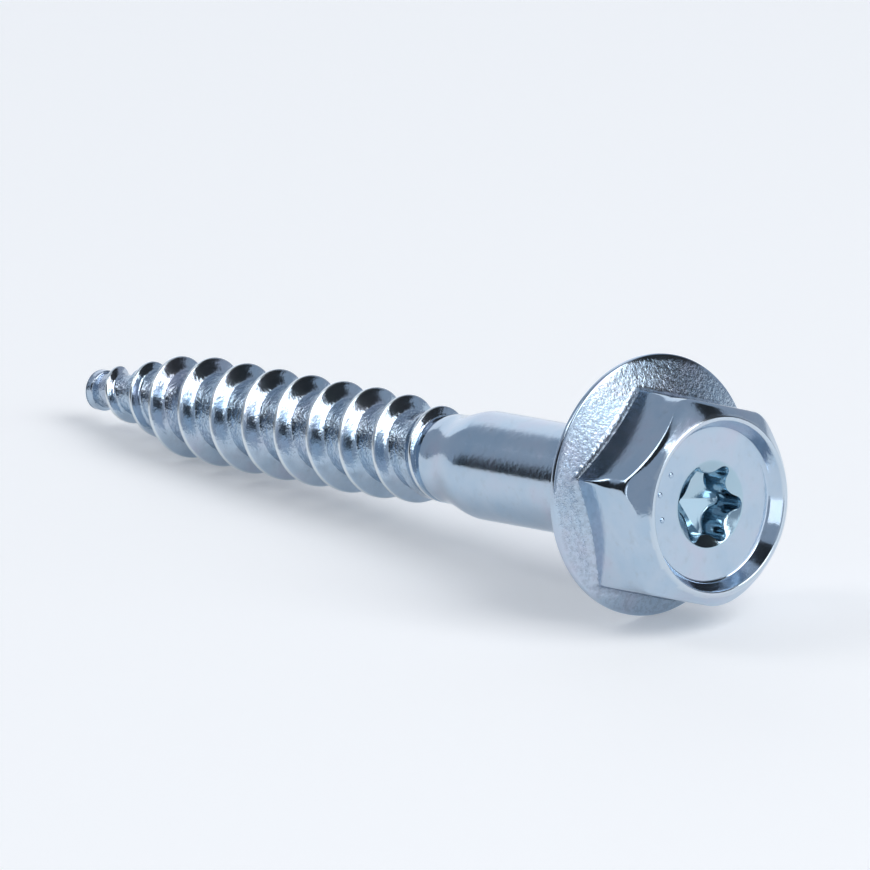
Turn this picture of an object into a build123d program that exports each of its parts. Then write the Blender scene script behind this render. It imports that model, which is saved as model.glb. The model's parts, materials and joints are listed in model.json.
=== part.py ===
from build123d import *
import math
import os

# Hex-flange lag screw, one cold-forged piece with a rolled right-hand wood thread.
# Built standing on the shank axis: bearing face at z = 0, head up, point down.
# All sizes in millimetres, angles in degrees.

# head
across_flats = 13.0        # spanner size
head_height = 6.95         # bearing face to the top of the raised rim
hex_turn = 10.8            # direction of one hex corner about the axis
corner_sharp = 0.25        # corner radius of the hexagon near the flange
corner_soft = 1.35         # corner radius where the forging did not fill the die
corner_top = 1.7           # corner radius at the top
fill_from, fill_to = 2.9, 3.9      # heights over which the corners go soft
chamfer_angle = 45.0       # slope of the crown between the flats and the rim
crown_blend = 0.8          # blend between crown and flats
base_fillet = 0.5          # inside corner between flats and flange
rim_outer = 5.88           # outer radius of the raised rim's narrow land
rim_inner = 5.64           # radius of the dish at the rim
dish_floor = 5.1           # radius of the flat dish floor
dish_depth = 0.96
rim_ease = 0.07            # bevel that breaks the rim's two edges
foot_ease = 0.2            # bevel where the dish wall meets its floor

# flange
flange_radius = 8.6
flange_off = 0.64          # the flange was forged this far off the shank's axis
flange_rim = 0.43          # height of its upright edge
flange_slope = 21.0        # rise of its top face towards the hexagon
flange_ease = 0.14         # bevel that breaks its two edges

# six-lobe recess, size 30
lobe_turn = 21.4           # direction of one lobe about the axis
lobe_out = 2.76            # radius over the lobes
lobe_in = 1.99             # radius between the lobes
lobe_tip = 0.46            # radius of a lobe's end
sink_radius = 2.82         # mouth of the countersink
sink_slope = 0.5           # its depth per radius
recess_apex = 3.2          # depth of the centre below the dish floor
recess_pitch = 0.33        # fall of the six bottom faces towards the centre

# three plain raised pips on the dish floor, by direction and radius
pips = ((49.0, 4.15), (69.0, 4.48), (91.0, 4.15))
pip_radius = 0.3
pip_height = 0.14

# shank, neck and thread
shank_radius = 3.61
shank_end = 15.2           # length of the full shank below the bearing face
neck_start = 18.5
neck_radius = 2.98
pitch = 3.23
thread_phase = 1.41        # depth at which a crest passes the +X side, modulo the pitch
crest_land = 0.22
flank_run = 0.41           # rise of each flank along the axis per radius
thread_cut = 19.8          # depths between which the threaded part is built
thread_stop = 55.1
length = 56.2
# radius of the thread's root and crest at each depth: run-out, full thread, gimlet taper
root_law = ((20.3, 2.93), (22.4, 2.55), (45.0, 2.55), (50.4, 1.62), (53.4, 1.15), (54.5, 1.06))
crest_law = ((20.0, 2.93), (20.9, 3.24), (22.4, 3.42), (24.4, 3.52), (27.7, 3.6), (37.0, 3.6),
             (44.4, 3.5), (47.4, 3.15), (50.4, 2.3), (53.2, 1.75), (53.8, 1.3), (54.2, 1.1), (54.5, 1.06))
# the threaded part bends slightly towards +X: sideways shift at each depth
bow_law = ((20.2, 0.0), (23.0, 0.15), (31.0, 0.19), (38.0, 0.25), (44.0, 0.35), (48.5, 0.5), (54.0, 0.5))

# resting pose on the flange's edge and the last full thread
lie_tilt = 6.202


def hexagon(height, corner):
    plan = RegularPolygon(across_flats / 2, 6, major_radius=False, rotation=hex_turn + 30)
    return Pos(0, 0, height) * fillet(plan.vertices(), corner)


def turned(outline, eased, ease):
    # a closed (radius, height) outline spun about Z, with the listed corners bevelled
    plan = make_face(Polyline(*outline, close=True))
    corners = [v for v in plan.vertices() if any(math.dist((v.X, v.Y), p) < 1e-6 for p in eased)]
    return revolve(Plane.XZ * chamfer(corners, ease), Axis.Z)


def hex_body():
    body = extrude(hexagon(0.3, corner_sharp), fill_from - 0.3)
    body += loft([hexagon(fill_from, corner_sharp), hexagon(fill_to, corner_soft)], ruled=True)
    body += loft([hexagon(fill_to, corner_soft), hexagon(head_height, corner_top)], ruled=True)
    drop = (8.5 - rim_outer) * math.tan(math.radians(chamfer_angle))
    edge = (rim_outer, head_height)
    crown = turned(((0, 0), (8.5, 0), (8.5, head_height - drop), edge, (0, head_height)),
                   (edge,), rim_ease)
    body &= crown
    cone = body.faces().filter_by(GeomType.CONE).sort_by(lambda face: -face.area)[0]
    rim = cone.edges().sort_by(Axis.Z)[-1]
    return fillet([edge for edge in cone.edges() if edge != rim], crown_blend)


def flange():
    rise = math.tan(math.radians(flange_slope))
    top = flange_rim + (flange_radius - 2.0) * rise
    edges = (flange_radius, 0), (flange_radius, flange_rim)
    return Pos(flange_off, 0, 0) * turned(((0, 0), *edges, (2.0, top), (0, top)), edges, flange_ease)


def base_corner(head):
    # edges where the six flats and their corners run into the flange's sloping top
    ring = head.edges().filter_by(lambda e: 0.5 < e.center().Z < 1.8)
    ring = ring.filter_by(lambda e: abs((e @ 0).Z - (e @ 1).Z) < 0.4)
    return ring.filter_by(lambda e: math.hypot((e @ 0).X, (e @ 0).Y) < across_flats * 0.59)


def dish():
    # the hollow, flared above the rim so that it also breaks the rim's inner edge
    floor = head_height - dish_depth
    foot = (dish_floor, floor)
    mouth = (rim_inner + rim_ease, head_height)
    lean = (rim_inner - dish_floor) / dish_depth
    return turned(((0, floor), foot, (rim_inner - rim_ease * lean, head_height - rim_ease), mouth,
                   (mouth[0] + 0.3, head_height + 0.3), (0, head_height + 0.3)), (foot,), foot_ease)


def lobed_plan():
    # inner arcs are tangent to the lobe ends; their radius follows from the two sizes
    a = math.radians(30)
    c = lobe_out - lobe_tip
    r = (c * c + lobe_in ** 2 - 2 * c * lobe_in * math.cos(a) - lobe_tip ** 2) / (
        2 * (c * math.cos(a) - lobe_in + lobe_tip))
    d = lobe_in + r
    outline = []
    for k in range(6):
        lobe = math.radians(lobe_turn + 60 * k)
        at = lambda radius, angle: (radius * math.cos(lobe + angle), radius * math.sin(lobe + angle))
        reach = lobe_tip / (lobe_tip + r)
        tx = c + (d * math.cos(a) - c) * reach
        ty = d * math.sin(a) * reach
        rad, ang = math.hypot(tx, ty), math.atan2(ty, tx)
        outline.append(ThreePointArc(at(rad, -ang), at(lobe_out, 0), at(rad, ang)))
        outline.append(ThreePointArc(at(rad, ang), at(lobe_in, a), at(rad, 2 * a - ang)))
    return make_face(outline)


def recess():
    floor = head_height - dish_depth
    low = floor - recess_apex
    shaft = Pos(0, 0, low) * extrude(lobed_plan(), recess_apex + 0.5)
    wide = 4.0
    fall = recess_pitch * wide * math.cos(math.radians(30))
    rim = [(wide * math.cos(a), wide * math.sin(a))
           for a in (math.radians(lobe_turn + 60 * k) for k in range(6))]
    cup = ConvexPolyhedron([(0, 0, low)] + [(x, y, z) for x, y in rim
                                            for z in (low + fall, floor + 1)])
    up = 0.2
    sink = Polyline((0, floor - sink_radius * sink_slope), (sink_radius + up / sink_slope, floor + up),
                    (0, floor + up), close=True)
    return (shaft & cup) + revolve(Plane.XZ * make_face(sink), Axis.Z)


def raised_pips():
    floor = head_height - dish_depth
    stud = Pos(0, 0, floor - 0.2) * Cone(pip_radius, pip_radius * 0.5, 0.2 + pip_height,
                                         align=(Align.CENTER, Align.CENTER, Align.MIN))
    return [Pos(r * math.cos(math.radians(a)), r * math.sin(math.radians(a)), 0) * stud
            for a, r in pips]


def value_at(depth, law):
    if depth <= law[0][0]:
        return law[0][1]
    for (start, first), (end, last) in zip(law, law[1:]):
        if depth <= end:
            return first + (last - first) * (depth - start) / (end - start)
    return law[-1][1]


def thread_profile(depth):
    # radius and height above the crest of: upper foot, crest edges, lower foot
    root, top = value_at(depth, root_law), value_at(depth, crest_law)
    half = crest_land / 2
    foot = half + max(flank_run * (top - root), 0.12)
    return (root, foot), (top, half), (top, -half), (root, -foot)


def thread_edges(corner, first, turns):
    # one spline per turn along the helix that this corner of the profile follows
    edges = []
    for k in range(turns):
        points = []
        for i in range(17):
            depth = first + (k + i / 16) * pitch
            radius, height = thread_profile(depth)[corner]
            angle = 2 * math.pi * (thread_phase - depth) / pitch
            bow = value_at(depth - height, bow_law)
            points.append((bow + radius * math.cos(angle), radius * math.sin(angle), height - depth))
        edges.append(Edge.make_spline(points, parameters=[i / 16 for i in range(17)]))
    return edges


def threaded_part():
    # Ruled strips between the helices make flanks, crest and root, turn by turn. A helicoid and
    # a radial wall close each end, and both ends are then cut square to the axis.
    first = thread_cut - 0.8 - pitch
    turns = math.ceil((thread_stop + 0.8 - first) / pitch)
    upper, edge_a, edge_b, lower = (thread_edges(i, first, turns) for i in range(4))
    ruled = Face.make_surface_from_curves
    faces = []
    for k in range(turns):
        faces += [ruled(upper[k], edge_a[k]), ruled(edge_a[k], edge_b[k]), ruled(edge_b[k], lower[k])]
        if k:
            faces.append(ruled(lower[k - 1], upper[k]))
    for k, foot, end, strips in ((0, upper, 0, (upper, edge_a, edge_b, lower)),
                                 (-1, lower, 1, (lower, edge_b, edge_a, upper))):
        free = foot[k]
        shift = value_at(-(free @ 0).Z, bow_law)
        axis = Line((shift, 0, (free @ 0).Z), (shift, 0, (free @ 1).Z))
        faces.append(ruled(axis.edge(), free))
        rim = [strip[k] @ end for strip in strips]
        wall = [axis @ end] + rim + [free @ (1 - end), axis @ (1 - end)]
        faces.append(make_face(Polyline(*wall, close=True)).face())
    slab = Pos(0, 0, -thread_stop) * Cylinder(8, thread_stop - thread_cut,
                                              align=(Align.CENTER, Align.CENTER, Align.MIN))
    return Solid(Shell(faces)) & slab


def shank():
    side = [
        Line((0, 1.0), (shank_radius, 1.0)),
        Line((shank_radius, 1.0), (shank_radius, -shank_end)),
        Spline((shank_radius, -shank_end), (3.27, -17.0), (neck_radius, -neck_start),
               tangents=((0, -1), (0, -1))),
        Line((neck_radius, -neck_start), (neck_radius, -thread_cut)),
        Line((neck_radius, -thread_cut), (0, -thread_cut)),
        Line((0, -thread_cut), (0, 1.0)),
    ]
    return revolve(Plane.XZ * make_face(side), Axis.Z)


def point():
    # the blunt end of the gimlet point
    stub = value_at(thread_stop, root_law) + 0.06
    side = [
        Line((0, -thread_stop), (stub, -thread_stop)),
        Spline((stub, -thread_stop), (0.62, -55.8), (0, -length), tangents=((0, -1), (-1, -0.35))),
        Line((0, -length), (0, -thread_stop)),
    ]
    return Pos(value_at(thread_stop, bow_law), 0, 0) * revolve(Plane.XZ * make_face(side), Axis.Z)


def screw():
    head = hex_body() + flange()
    head = fillet(base_corner(head), base_fillet)
    head -= dish()
    head -= recess()
    for pip in raised_pips():
        head += pip
    return head + shank() + threaded_part() + point()


def lie_down(body):
    # on the edge of the flange and the last full thread crest, shank along X, head at +X
    body = Rot(0, 90 - lie_tilt, 0) * Rot(0, 0, 180) * body
    box = body.bounding_box()
    return Pos(-box.center().X, -box.center().Y, -box.min.Z) * body


if __name__ == "__main__":
    os.makedirs("parts", exist_ok=True)
    export_step(lie_down(screw()), "parts/lag_screw.step")
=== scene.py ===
import json
import math

import bpy
import numpy as np
from mathutils import Matrix, Vector


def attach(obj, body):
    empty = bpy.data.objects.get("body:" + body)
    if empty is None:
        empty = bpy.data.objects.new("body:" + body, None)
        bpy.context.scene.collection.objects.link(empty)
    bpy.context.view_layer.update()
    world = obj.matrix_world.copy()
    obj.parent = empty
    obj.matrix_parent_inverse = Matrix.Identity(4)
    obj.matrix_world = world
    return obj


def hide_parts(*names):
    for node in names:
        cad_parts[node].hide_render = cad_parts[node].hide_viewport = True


# The screw is meshed again in fine, smooth rows from the same driving sizes as the CAD part.
# Millimetres and degrees in the part's own frame: bearing face at z = 0, head up, point down.

PER_METRE = 1000.0

# head
ACROSS_FLATS = 13.0
HEAD_HEIGHT = 6.95
HEX_TURN = 10.8
CORNER_SHARP, CORNER_SOFT, CORNER_TOP = 0.25, 1.35, 1.7
SLACK_SHARE, SLACK_EXTRA = 1.7, 1.1
FILL_FROM, FILL_TO = 2.4, 4.2
CROWN_BLEND = 0.75
BASE_FILLET = 0.55
RIM_OUTER, RIM_INNER = 5.88, 5.64
DISH_FLOOR, DISH_DEPTH = 5.1, 0.96
RIM_ROUND = 0.1
RIM_BAND, RIM_WEAR_AND_HIGHLIGHT = 0.15, 0.4       # how far the band of rubbed wear and painted highlight spreads, and how strongly it lightens
FOOT_ROUND = 0.25

# flange
FLANGE_RADIUS = 8.6
FLANGE_OFF = 0.64
FLANGE_RIM = 0.43
FLANGE_SLOPE = 21.0
FLANGE_ROUND = 0.13

# six-lobe recess and pips
LOBE_TURN = 21.4
LOBE_OUT, LOBE_IN, LOBE_TIP = 2.76, 1.99, 0.46
SINK_RADIUS, SINK_SLOPE = 2.82, 0.5
RECESS_DEPTH, RECESS_PITCH = 3.2, 0.33
PIPS = ((51.0, 4.1), (71.0, 4.48), (93.0, 4.2))
PIP_RADIUS, PIP_HEIGHT = 0.19, 0.1

# shank, neck and thread
SHANK_RADIUS, SHANK_END = 3.61, 15.2
NECK_START, NECK_RADIUS = 18.5, 2.98
PITCH, THREAD_PHASE = 3.23, 1.41
CREST_LAND, FLANK_RUN = 0.22, 0.41
THREAD_START, THREAD_STOP, LENGTH = 18.9, 53.9, 54.75
THREAD_CORE = 2.3           # radius well under the root, where hidden edges end
END_ROUND = 0.34
ROOT_LAW = ((19.3, 2.93), (20.6, 2.62), (22.4, 2.55), (45.0, 2.55), (53.4, 1.15), (55.0, 1.12))
CREST_LAW = ((19.3, 2.93), (20.0, 3.1), (20.9, 3.26), (22.4, 3.42), (24.4, 3.52), (27.7, 3.6), (37.0, 3.6),
             (44.4, 3.5), (46.2, 3.29), (48.2, 2.65), (50.0, 2.3), (53.1, 1.75), (53.8, 1.35), (54.4, 1.2),
             (55.0, 1.18))
SPREAD_LAW = ((21.0, 0.55), (24.0, 0.0))
CREEP_LAW = ((45.5, 0.0), (50.0, 0.5))
BOW_LAW = ((20.2, 0.0), (23.0, 0.15), (31.0, 0.19), (38.0, 0.25), (44.0, 0.35), (46.0, 0.42), (48.5, 0.57),
           (51.0, 0.6), (53.0, 0.5), (54.7, 0.33))

HEAD_STEPS = 336        # around the head
FLANGE_ROWS = (18, 35)  # rows of its outline on the flange's top, from the shank outwards and over
RECESS_ROWS = 24        # last rows of its outline, in the recess
PIP_STEPS = 24          # around a pip
STUB_STEPS = 64         # around the blunt end
SHANK_STEPS = 160       # around the shank
THREAD_STEPS = 120      # around each turn of the thread

# camera: direction of view, and how far right and down of the picture's middle the flange sits
VIEW_AZIMUTH, VIEW_ELEVATION, VIEW_ROLL = 48.25, 17.04, 0.345
VIEW_DISTANCE = 2011.0
VIEW_WIDTH = 56.65         # width of the picture at that distance
FLANGE_RIGHT, FLANGE_DOWN = 13.91, 3.82

# studio around the screw: glow of the room, then soft boxes and dark cards, each by the direction
# that it lies in (azimuth, elevation) and the angle that it fills (width, height)
ROOM = (0.37, 0.42, 0.5, 1)
DISTANCE = 0.9              # of the soft boxes, in metres
CARD_BEHIND = 1.15          # of the cards, as a share of that
FLOOR_HALF = 3.0            # half the floor's width, in metres
SOFT_BOXES = {
    # azimuth, elevation, width, height, glow
    "main": (101, 46, 40, 32, 3.9),
    "right_low": (108, 12, 38, 26, 0.75),
    "left_high": (-47, 46, 22, 28, 2.6),
    "strip": (13, 8, 9, 40, 1.3),
    "back_left": (-115, 18, 40, 36, 0.6),
}
DARK_CARDS = {
    "front_left": (-28, 14, 46, 74),
    "back_right": (148, 35, 40, 42),
    "above": (5, 66, 46, 28),
}
CARD_GREY, FLOOR_GREY, FLOOR_LIFT = 0.03, 0.9, 0.2

# features of the finish, each so many to a metre
CLOUDS, STAINS, SHOT, WAVES, SKIN = 260.0, 1500.0, 3600.0, 900.0, 2600.0

# tints of the zinc plate, among them a painted highlight for crests and rim and a painted shade for the
# recess
ZINC = (0.48, 0.58, 0.69)
ZINC_BLUE = (0.41, 0.54, 0.67)
ZINC_LILAC = (0.52, 0.56, 0.67)
ZINC_DULL = (0.36, 0.42, 0.48)
ZINC_SHOT = (0.13, 0.17, 0.24)
# lighter tint for crests and rim: rubbed wear and a painted highlight
ZINC_WORN_AND_HIGHLIGHT = (0.7, 0.76, 0.8)
# darker, bluer tint for the recess: painted shade and painted bounced light
ZINC_RECESS_SHADE = (0.36, 0.53, 0.61)


def law(depth, table):
    return float(np.interp(depth, [d for d, _ in table], [v for _, v in table]))


def smooth_law(depth, table, width=0.5):
    # the law averaged over a short window, so that its corners are round
    return sum(law(depth + width * k / 3, table) for k in (-3, -2, -1, 0, 1, 2, 3)) / 7


def arc(centre, radius, start, end, count):
    return [(centre[0] + radius * math.cos(a), centre[1] + radius * math.sin(a))
            for a in np.linspace(start, end, count)]


def fillet(before, corner, after, radius, count):
    # points of a round at a corner of an outline, given the points before and after it
    p, a, b = Vector(corner), Vector(before) - Vector(corner), Vector(after) - Vector(corner)
    half = a.angle(b) / 2
    reach = min(radius / math.tan(half), a.length * 0.95, b.length * 0.95)
    size = reach * math.tan(half)
    a.normalize()
    b.normalize()
    centre = p + (a + b).normalized() * size / math.sin(half)
    start, end = p + a * reach - centre, p + b * reach - centre
    turn = start.angle(end)
    if start.x * end.y - start.y * end.x < 0:
        turn = -turn
    first = math.atan2(start.y, start.x)
    return arc(centre, size, first, first + turn, count)


def line(start, end, count):
    # evenly spaced points between two points, without the two ends
    steps = np.linspace(0, 1, count + 2)[1:-1]
    return [(start[0] + (end[0] - start[0]) * s, start[1] + (end[1] - start[1]) * s) for s in steps]


def hex_radius(angle, corner):
    # distance from the axis to a hexagon with round corners
    apothem = ACROSS_FLATS / 2
    turned = (angle - math.radians(HEX_TURN) + math.pi / 6) / (math.pi / 3)
    if math.floor(turned) % 6 == 3:     # the corner that the die filled least
        corner = corner * SLACK_SHARE + SLACK_EXTRA
    off = abs(turned % 1 - 0.5) * math.pi / 3       # from the nearest corner
    flat = apothem / math.cos(math.pi / 6 - off)
    middle = (apothem - corner) / math.cos(math.pi / 6)
    inside = corner * corner - (middle * math.sin(off)) ** 2
    if inside <= 0:
        return flat
    rounded = middle * math.cos(off) + math.sqrt(inside)
    tangent = math.atan2(corner * math.sin(math.pi / 6), middle + corner * math.cos(math.pi / 6))
    return rounded if off < tangent else flat


def ease(x, start, end):
    t = min(max((x - start) / (end - start), 0.0), 1.0)
    return t * t * (3 - 2 * t)


def wall_radius(angle, height):
    corner = CORNER_SHARP + (CORNER_SOFT - CORNER_SHARP) * ease(height, FILL_FROM, FILL_TO)
    corner += (CORNER_TOP - CORNER_SOFT) * ease(height, FILL_TO, HEAD_HEIGHT)
    return hex_radius(angle, corner)


def lobe_radius(angle):
    # distance from the axis to the wall of the six-lobe recess
    a = math.pi / 6
    c = LOBE_OUT - LOBE_TIP
    r = (c * c + LOBE_IN ** 2 - 2 * c * LOBE_IN * math.cos(a) - LOBE_TIP ** 2) / (
        2 * (c * math.cos(a) - LOBE_IN + LOBE_TIP))
    d = LOBE_IN + r
    off = abs((angle - math.radians(LOBE_TURN) + a) % (2 * a) - a)
    reach = LOBE_TIP / (LOBE_TIP + r)
    tx, ty = c + (d * math.cos(a) - c) * reach, d * math.sin(a) * reach
    if off < math.atan2(ty, tx):
        return c * math.cos(off) + math.sqrt(max(LOBE_TIP ** 2 - (c * math.sin(off)) ** 2, 0))
    return d * math.cos(a - off) - math.sqrt(max(r * r - (d * math.sin(a - off)) ** 2, 0))


def flange_reach(angle):
    # distance from the shank's axis to the flange's edge, whose circle is off centre
    return FLANGE_OFF * math.cos(angle) + math.sqrt(
        FLANGE_RADIUS ** 2 - (FLANGE_OFF * math.sin(angle)) ** 2)


def head_outline(angle):
    # (radius, height) points from the shank under the flange, over the head, to the recess's centre
    edge = flange_reach(angle)
    rise = math.tan(math.radians(FLANGE_SLOPE))
    out = []
    foot, low, high = (SHANK_RADIUS - 0.15, 0.0), (edge, 0.0), (edge, FLANGE_RIM)
    base = wall_radius(angle, 1.2)
    seat = (base, FLANGE_RIM + (edge - base) * rise)
    start = HEAD_HEIGHT - (wall_radius(angle, HEAD_HEIGHT - 1.2) - RIM_OUTER)
    brow = (wall_radius(angle, start), start)
    rim_out, rim_in = (RIM_OUTER, HEAD_HEIGHT), (RIM_INNER, HEAD_HEIGHT)
    floor = HEAD_HEIGHT - DISH_DEPTH
    dish = (DISH_FLOOR, floor)
    lobe = lobe_radius(angle)
    mouth, throat = (SINK_RADIUS, floor), (lobe, floor - (SINK_RADIUS - lobe) * SINK_SLOPE)
    facet = (angle - math.radians(LOBE_TURN)) % (math.pi / 3) - math.pi / 6
    deep = floor - RECESS_DEPTH + RECESS_PITCH * lobe * math.cos(facet)
    bottom, centre = (lobe, deep), (0.0, floor - RECESS_DEPTH)

    out += [foot] + line(foot, low, 6)
    out += fillet(foot, low, high, FLANGE_ROUND, 5)
    out += line(low, high, 1)
    out += fillet(low, high, seat, FLANGE_ROUND, 5)
    out += line(high, seat, 10)[1:]
    out += fillet(high, seat, brow, BASE_FILLET, 9)
    lift = out[-1][1]
    crown = fillet((wall_radius(angle, start), lift), brow, rim_out, CROWN_BLEND, 10)
    top = crown[0][1]
    out += [(wall_radius(angle, h), h) for h in np.linspace(lift, top, 18)[1:-1]]
    out += crown
    out += line(crown[-1], rim_out, 5)
    out += fillet(brow, rim_out, rim_in, RIM_ROUND, 5)
    out += fillet(rim_out, rim_in, dish, RIM_ROUND, 5)
    out += line(rim_in, dish, 5)
    out += fillet(rim_in, dish, mouth, FOOT_ROUND, 6)
    out += line(dish, mouth, 14)
    out += fillet(dish, mouth, throat, 0.05, 3)
    out += line(mouth, throat, 2)
    out += fillet(mouth, throat, bottom, 0.04, 3)
    out += line(throat, bottom, 6)
    out += fillet(throat, bottom, centre, 0.08, 3)
    out += line(bottom, centre, 7)
    return out


def head_angles():
    # denser near the hexagon's corners
    whole = np.arange(HEAD_STEPS) / HEAD_STEPS * 2 * math.pi
    pull = 0.72 / 6
    return [a - pull * math.sin(6 * (a - math.radians(HEX_TURN))) for a in whole]


def shank_outline():
    out = [(SHANK_RADIUS + 0.12, 0.05), (SHANK_RADIUS + 0.035, -0.06), (SHANK_RADIUS, -0.2)]
    out += line((SHANK_RADIUS, -0.2), (SHANK_RADIUS, -SHANK_END), 16)
    for t in np.linspace(0, 1, 16):
        fall = t * t * (3 - 2 * t)
        out.append((SHANK_RADIUS + (NECK_RADIUS - SHANK_RADIUS) * fall,
                    -SHANK_END - (NECK_START - SHANK_END) * t))
    out.append((NECK_RADIUS, -THREAD_START))
    # on down the thread's root, past the place where its first turn has closed
    closed = THREAD_START + PITCH / 2
    out += [(law(d, ROOT_LAW) - 0.01, -d) for d in np.linspace(THREAD_START + 0.4, closed, 8)]
    return out + [(THREAD_CORE, -closed - 0.15)]


def point_outline():
    # the blunt end of the gimlet point
    stub = law(THREAD_STOP, CREST_LAW) + 0.03
    inner, start, edge, end = (0.6, -THREAD_STOP), (stub, -THREAD_STOP), (stub, -LENGTH), (0.0, -LENGTH)
    out = [inner] + fillet(inner, start, edge, 0.1, 5)
    out += line(start, edge, 3) + fillet(start, edge, end, END_ROUND, 9)
    return out + line(edge, end, 3) + [end]


class Skin:
    """Gathers rows of points into one mesh, with a mark on each point that the finish reads."""

    def __init__(self):
        self.points, self.faces, self.marks = [], [], []

    def row(self, points, marks):
        first = len(self.points)
        self.points += points
        self.marks += marks
        return list(range(first, first + len(points)))

    def bridge(self, rows, closed):
        for a, b in zip(rows, rows[1:]):
            count = len(a) if closed else len(a) - 1
            for i in range(count):
                j = (i + 1) % len(a)
                self.faces.append((a[i], a[j], b[j], b[i]))

    def cap(self, row, point, mark):
        tip = self.row([point], [mark])[0]
        for i, index in enumerate(row):
            self.faces.append((index, row[(i + 1) % len(row)], tip))

    def drop_unused(self):
        # points that no face uses would still count in the mesh's bounds
        used = sorted({k for face in self.faces for k in face})
        place = {old: new for new, old in enumerate(used)}
        self.points = [self.points[k] for k in used]
        self.marks = [self.marks[k] for k in used]
        self.faces = [tuple(place[k] for k in face) for face in self.faces]


def on_rim(radius, height):
    return RIM_INNER - RIM_BAND < radius < RIM_OUTER + RIM_BAND and height > HEAD_HEIGHT - RIM_BAND


def add_head(skin):
    angles = head_angles()
    outlines = [head_outline(a) for a in angles]
    count = len(outlines[0])
    rows = []
    for k in range(count):
        points, marks = [], []
        for a, outline in zip(angles, outlines):
            radius, height = outline[k]
            points.append((radius * math.cos(a), radius * math.sin(a), height))
            grain = 1.0 if FLANGE_ROWS[0] <= k < FLANGE_ROWS[1] else 0.0
            # rows in the recess, which take a painted shade
            hollow = 1.0 if k >= count - RECESS_ROWS else 0.0
            # the rim's band is lightened: rubbed wear and a painted highlight
            marks.append((grain, RIM_WEAR_AND_HIGHLIGHT if on_rim(radius, height) else 0.0, hollow))
        rows.append(skin.row(points, marks))
    skin.bridge(rows, closed=True)
    skin.cap(rows[-1], (0, 0, HEAD_HEIGHT - DISH_DEPTH - RECESS_DEPTH), (0.0, 0.0, 1.0))


def add_pips(skin):
    # small domes let into the dish's floor
    floor = HEAD_HEIGHT - DISH_DEPTH
    for turn, out in PIPS:
        x, y = out * math.cos(math.radians(turn)), out * math.sin(math.radians(turn))
        rows = []
        for tilt in np.linspace(0, math.pi / 2, 6)[:-1]:
            radius = PIP_RADIUS * math.cos(tilt) ** 0.7
            height = floor - 0.01 + PIP_HEIGHT * math.sin(tilt)
            ring = [(x + radius * math.cos(a), y + radius * math.sin(a), height)
                    for a in np.linspace(0, 2 * math.pi, PIP_STEPS, endpoint=False)]
            rows.append(skin.row(ring, [(0.0, 0.0, 0.0)] * PIP_STEPS))
        skin.bridge(rows, closed=True)
        skin.cap(rows[-1], (x, y, floor + PIP_HEIGHT), (0.0, 0.0, 0.0))


def add_turned(skin, outline, steps, bow, mark, close=False):
    rows = []
    for radius, height in outline:
        if close and radius == 0.0:
            skin.cap(rows[-1], (bow, 0, height), mark)
            continue
        points = [(bow + radius * math.cos(a), radius * math.sin(a), height)
                  for a in np.linspace(0, 2 * math.pi, steps, endpoint=False)]
        rows.append(skin.row(points, [mark] * steps))
    skin.bridge(rows, closed=True)


def thread_section(depth):
    # (radius, height above the crest, root mark) across one pitch, from its upper root to the next
    root, top = smooth_law(depth, ROOT_LAW, 0.25), smooth_law(depth, CREST_LAW, 0.3)
    top = max(top, root)
    tall = top - root
    half = CREST_LAND / 2
    foot = half + FLANK_RUN * tall
    width = PITCH / 2
    blend = min(0.1, 0.2 * tall)
    spread = law(depth, SPREAD_LAW)
    across = [(root, width, 1.0), (root, (width + foot + blend) / 2, 1.0), (root, foot + blend, 1.0)]
    for t in (0.25, 0.5, 0.75, 1.0):
        run = foot + blend * (1 - t - 0.5 * t * t)
        across.append((root + tall * 0.16 * t * t, run, 1.0 - 0.6 * t))
    for t in (0.35, 0.55, 0.75, 0.9):
        across.append((root + tall * t, foot + (half - foot) * t, 0.15))
    across += [(top - 0.03 * tall, half, 0.0), (top, half * 0.7, 0.0), (top, 0.0, 0.0)]
    # the flank that faces the point is spread near the neck, most at its foot
    lower = []
    for radius, height, mark in reversed(across[1:-1]):
        out = spread * (top - radius) / tall if tall > 0 else 0.0
        lower.append((radius, -height - min(out, 0.8 * (width - height)), mark))
    return across + lower


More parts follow.
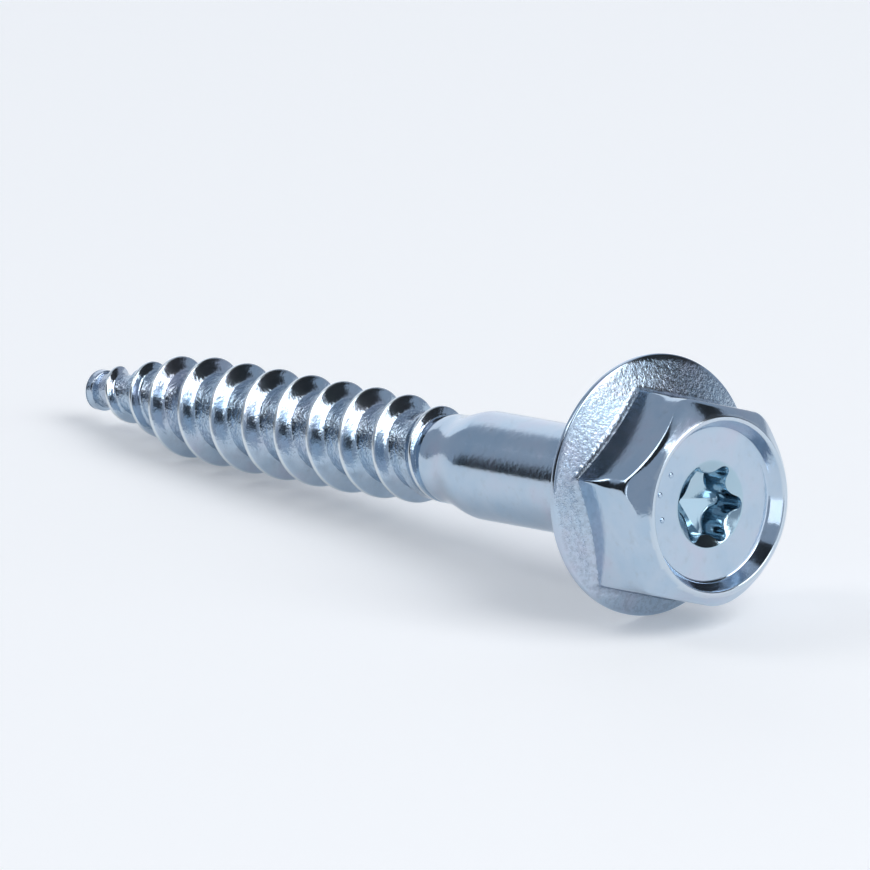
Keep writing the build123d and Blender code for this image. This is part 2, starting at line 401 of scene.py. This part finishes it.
def add_thread(skin):
    # rows run along the helix, one for each point across the pitch, turn after turn
    first = THREAD_START + PITCH / 2 - 0.2
    # the creep draws the last turns back, so they start from that much further on
    last = THREAD_STOP + 0.9 + CREEP_LAW[-1][1] + 0.3
    count = int((last - first) / PITCH * THREAD_STEPS)
    across = len(thread_section(30.0))
    grid, marks = [], []
    for i in range(count + THREAD_STEPS + 1):
        depth = first - PITCH / 2 + i * PITCH / THREAD_STEPS
        angle = 2 * math.pi * (THREAD_PHASE - depth) / PITCH
        for radius, height, mark in thread_section(depth):
            place = depth - height - law(depth, CREEP_LAW)
            bow = smooth_law(place, BOW_LAW)
            grid.append((bow + radius * math.cos(angle), radius * math.sin(angle), -place))
            # crest points are lightened: rubbed wear and a painted highlight
            marks.append((mark, 1.0 if mark == 0.0 else 0.0, 0.0))
    rows = skin.row(grid, marks)
    strips = [rows[i * across:(i + 1) * across] for i in range(len(rows) // across)]
    faces = []
    for a, b in zip(strips, strips[1:]):
        faces += [(a[j], a[j + 1], b[j + 1], b[j]) for j in range(across - 1)]
    # the last point of each section meets the first one of the next turn
    for a, b, c, d in zip(strips, strips[1:], strips[THREAD_STEPS:], strips[THREAD_STEPS + 1:]):
        faces.append((a[-1], c[0], d[0], b[-1]))
    # a wall down to the core closes the first section, whose end would stay open
    core = []
    for k in strips[0]:
        x, y, height = skin.points[k]
        shrink = THREAD_CORE / math.hypot(x, y)
        core.append((x * shrink, y * shrink, height))
    skin.bridge([skin.row(core, [(1.0, 0.0, 0.0)] * across), strips[0]], closed=False)
    stop = -THREAD_STOP - 0.1
    skin.faces += [face for face in faces if max(skin.points[k][2] for k in face) > stop]


def placed(points, mounts):
    # from the part's own frame in millimetres to the frame of the record in metres
    shank = mounts["shank"]
    up = -Vector(shank["axis"])
    side = Vector((-up.z, 0.0, up.x))
    back = up.cross(side)
    # the mount sits half way down the shank
    origin = Vector(shank["pos_m"]) + up * SHANK_END / 2 / PER_METRE
    basis = np.array([side, back, up])
    return np.array(points) @ basis / PER_METRE + np.array(origin), origin


def build_screw(mounts):
    skin = Skin()
    add_head(skin)
    add_pips(skin)
    add_turned(skin, shank_outline(), SHANK_STEPS, 0.0, (0.0, 0.0, 0.0))
    add_thread(skin)
    add_turned(skin, point_outline(), STUB_STEPS, law(THREAD_STOP, BOW_LAW), (0.4, 0.0, 0.0), close=True)
    skin.drop_unused()
    places, _ = placed(skin.points, mounts)
    mesh = bpy.data.meshes.new("screw")
    mesh.from_pydata([tuple(p) for p in places], [], skin.faces)
    for k, name in enumerate(("grain", "crest", "hollow")):
        layer = mesh.attributes.new(name, "FLOAT", "POINT")
        layer.data.foreach_set("value", np.array([m[k] for m in skin.marks], np.float32))
    mesh.update()
    for face in mesh.polygons:
        face.use_smooth = True
    mesh.set_sharp_from_angle(angle=math.radians(38))
    screw = bpy.data.objects.new("screw", mesh)
    bpy.context.scene.collection.objects.link(screw)
    return screw


def ramp(tree, source, *stops):
    made = tree.nodes.new("ShaderNodeValToRGB")
    bar = made.color_ramp.elements
    while len(bar) < len(stops):
        bar.new(0.5)
    for element, (position, colour) in zip(bar, stops):
        element.position = position
        element.color = (*colour, 1.0)
    tree.links.new(source, made.inputs["Fac"])
    return made.outputs["Color"]


def noise(tree, place, scale, detail=3.0, rough=0.5):
    made = tree.nodes.new("ShaderNodeTexNoise")
    made.inputs["Scale"].default_value = scale
    made.inputs["Detail"].default_value = detail
    made.inputs["Roughness"].default_value = rough
    tree.links.new(place, made.inputs["Vector"])
    return made.outputs["Fac"]


def mark(tree, name):
    made = tree.nodes.new("ShaderNodeAttribute")
    made.attribute_name = name
    return made.outputs["Fac"]


def sums(tree, kind, first, second, third=None):
    made = tree.nodes.new("ShaderNodeMath")
    made.operation = kind
    for slot, value in zip(made.inputs, (first, second, third)):
        if isinstance(value, (int, float)):
            slot.default_value = value
        elif value is not None:
            tree.links.new(value, slot)
    return made.outputs[0]


def blend(tree, share, first, second):
    made = tree.nodes.new("ShaderNodeMix")
    made.data_type = "RGBA"
    sockets = [k for k in made.inputs if k.type == "RGBA"]
    tree.links.new(share, made.inputs["Factor"])
    for slot, value in zip(sockets, (first, second)):
        if isinstance(value, tuple):
            slot.default_value = (*value, 1.0)
        else:
            tree.links.new(value, slot)
    return next(k for k in made.outputs if k.type == "RGBA")


def bump(tree, height, strength, distance, before=None):
    made = tree.nodes.new("ShaderNodeBump")
    made.inputs["Distance"].default_value = distance
    if isinstance(strength, (int, float)):
        made.inputs["Strength"].default_value = strength
    else:
        tree.links.new(strength, made.inputs["Strength"])
    tree.links.new(height, made.inputs["Height"])
    if before is not None:
        tree.links.new(before, made.inputs["Normal"])
    return made.outputs["Normal"]


def zinc():
    # bright zinc plate with a blue passivation: tint in clouds, faint stains, shot grain on the flange and
    # in the thread's root, a fine skin everywhere, crests and rim lightened by rubbed wear and a painted
    # highlight, a painted darker blue shade in the recess
    material = bpy.data.materials.new("zinc_plate")
    material.use_nodes = True
    tree = material.node_tree
    shader = tree.nodes["Principled BSDF"]
    shader.inputs["Metallic"].default_value = 1.0
    place = tree.nodes.new("ShaderNodeTexCoord").outputs["Object"]
    grain, crest, hollow = mark(tree, "grain"), mark(tree, "crest"), mark(tree, "hollow")

    clouds = noise(tree, place, CLOUDS, 4.0, 0.6)
    tint = ramp(tree, clouds, (0.3, ZINC_BLUE), (0.52, ZINC), (0.72, ZINC_LILAC))
    stain = noise(tree, place, STAINS, 5.0, 0.65)
    tint = blend(tree, sums(tree, "MULTIPLY", ramp(tree, stain, (0.56, (0, 0, 0)), (0.74, (1, 1, 1))), 0.35),
                 tint, ZINC_DULL)
    shot = noise(tree, place, SHOT, 3.0, 0.6)
    specks = ramp(tree, shot, (0.44, (1, 1, 1)), (0.54, (0, 0, 0)))
    tint = blend(tree, sums(tree, "MULTIPLY", sums(tree, "MULTIPLY", specks, grain), 0.22), tint, ZINC_SHOT)
    # crests and rim lightened: rubbed wear and a painted highlight
    tint = blend(tree, crest, tint, ZINC_WORN_AND_HIGHLIGHT)
    # the recess darkened and blued: painted shade and painted bounced light
    tint = blend(tree, sums(tree, "MULTIPLY", hollow, 0.6), tint, ZINC_RECESS_SHADE)
    tree.links.new(tint, shader.inputs["Base Color"])

    rough = sums(tree, "MULTIPLY_ADD", clouds, 0.16, 0.04)
    rough = sums(tree, "MULTIPLY_ADD", grain, 0.06, rough)
    rough = sums(tree, "MULTIPLY_ADD", crest, 0.12, rough)
    tree.links.new(rough, shader.inputs["Roughness"])

    waves = noise(tree, place, WAVES, 2.0)
    skin = noise(tree, place, SKIN, 4.0, 0.6)
    normal = bump(tree, waves, 0.15, 0.00002)
    normal = bump(tree, skin, 0.35, 0.00002, normal)
    normal = bump(tree, shot, sums(tree, "MULTIPLY_ADD", grain, 0.8, 0.03), 0.00008, normal)
    tree.links.new(normal, shader.inputs["Normal"])
    return material


def build_floor():
    mesh = bpy.data.meshes.new("floor")
    half = FLOOR_HALF
    mesh.from_pydata([(-half, -half, 0), (half, -half, 0), (half, half, 0), (-half, half, 0)], [],
                     [(0, 1, 2, 3)])
    floor = bpy.data.objects.new("floor", mesh)
    bpy.context.scene.collection.objects.link(floor)
    mesh.materials.append(pale_floor())


def pale_floor():
    # lifted a little towards white where the camera or the metal sees it
    material = plain("floor", FLOOR_GREY, 0.7)
    tree = material.node_tree
    shader = tree.nodes["Principled BSDF"]
    path = tree.nodes.new("ShaderNodeLightPath")
    seen = sums(tree, "MAXIMUM", path.outputs["Is Camera Ray"], path.outputs["Is Glossy Ray"])
    shader.inputs["Emission Color"].default_value = (1, 1, 1, 1)
    tree.links.new(sums(tree, "MULTIPLY", seen, FLOOR_LIFT), shader.inputs["Emission Strength"])
    return material


def build_world():
    # a dim room around the lamps
    world = bpy.data.worlds.new("studio")
    bpy.context.scene.world = world
    world.use_nodes = True
    background = world.node_tree.nodes["Background"]
    background.inputs["Color"].default_value = ROOM
    background.inputs["Strength"].default_value = 1.0


def toward(azimuth, elevation):
    # unit vector from the screw to a direction of the studio
    turn, lift = math.radians(azimuth), math.radians(elevation)
    return Vector((math.sin(turn) * math.cos(lift), -math.cos(turn) * math.cos(lift), math.sin(lift)))


def spread(angle, distance):
    return 2 * distance * math.tan(math.radians(angle / 2))


def build_lamp(name, azimuth, elevation, width, height, glow):
    way = toward(azimuth, elevation)
    data = bpy.data.lights.new(name, "AREA")
    data.shape = "RECTANGLE"
    data.size, data.size_y = spread(width, DISTANCE), spread(height, DISTANCE)
    data.energy = glow * math.pi * data.size * data.size_y
    lamp = bpy.data.objects.new(name, data)
    lamp.location = way * DISTANCE
    lamp.rotation_euler = (-way).to_track_quat("-Z", "Y").to_euler()
    bpy.context.scene.collection.objects.link(lamp)


def build_card(name, azimuth, elevation, width, height, material):
    # a dark card behind the lamps, seen by the metal but not by a camera that looks past it
    way, far = toward(azimuth, elevation), DISTANCE * CARD_BEHIND
    x, y = spread(width, far) / 2, spread(height, far) / 2
    mesh = bpy.data.meshes.new(name)
    mesh.from_pydata([(-x, -y, 0), (x, -y, 0), (x, y, 0), (-x, y, 0)], [], [(0, 1, 2, 3)])
    card = bpy.data.objects.new(name, mesh)
    card.location = way * far
    card.rotation_euler = (-way).to_track_quat("-Z", "Y").to_euler()
    mesh.materials.append(material)
    card.visible_camera = False
    bpy.context.scene.collection.objects.link(card)


def plain(name, grey, roughness):
    material = bpy.data.materials.new(name)
    material.use_nodes = True
    shader = material.node_tree.nodes["Principled BSDF"]
    shader.inputs["Base Color"].default_value = (grey, grey, grey, 1)
    shader.inputs["Roughness"].default_value = roughness
    return material


def build_camera(mounts):
    _, origin = placed([(0, 0, 0)], mounts)
    way = toward(VIEW_AZIMUTH, VIEW_ELEVATION)
    turn, roll = math.radians(VIEW_AZIMUTH), math.radians(VIEW_ROLL)
    level = Vector((math.cos(turn), math.sin(turn), 0.0))
    right = level * math.cos(roll) + way.cross(level) * math.sin(roll)
    above = way.cross(right)
    data = bpy.data.cameras.new("camera")
    data.sensor_width = 36.0
    data.lens = data.sensor_width * VIEW_DISTANCE / VIEW_WIDTH
    camera = bpy.data.objects.new("camera", data)
    at = origin + (way * VIEW_DISTANCE - right * FLANGE_RIGHT + above * FLANGE_DOWN) / PER_METRE
    camera.matrix_world = Matrix((right, above, way)).transposed().to_4x4()
    camera.location = at
    bpy.context.scene.collection.objects.link(camera)
    bpy.context.scene.camera = camera


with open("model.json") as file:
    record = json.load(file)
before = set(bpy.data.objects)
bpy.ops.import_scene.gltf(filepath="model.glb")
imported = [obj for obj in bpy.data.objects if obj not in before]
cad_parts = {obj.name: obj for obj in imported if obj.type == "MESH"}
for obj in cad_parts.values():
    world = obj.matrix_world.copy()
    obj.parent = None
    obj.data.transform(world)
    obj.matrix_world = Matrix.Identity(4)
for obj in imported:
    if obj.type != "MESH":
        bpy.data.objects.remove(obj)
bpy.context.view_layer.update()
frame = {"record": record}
mounts = {mount["name"]: mount for mount in frame["record"]["mounts"]}
screw = build_screw(mounts)
screw.data.materials.append(zinc())
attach(screw, "root")
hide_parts("lag_screw")
build_floor()
build_world()
for name, box in SOFT_BOXES.items():
    build_lamp(name, *box)
felt = plain("felt", CARD_GREY, 0.9)
for name, card in DARK_CARDS.items():
    build_card(name, *card, felt)
build_camera(mounts)

scene = bpy.context.scene
scene.view_settings.view_transform = "Standard"
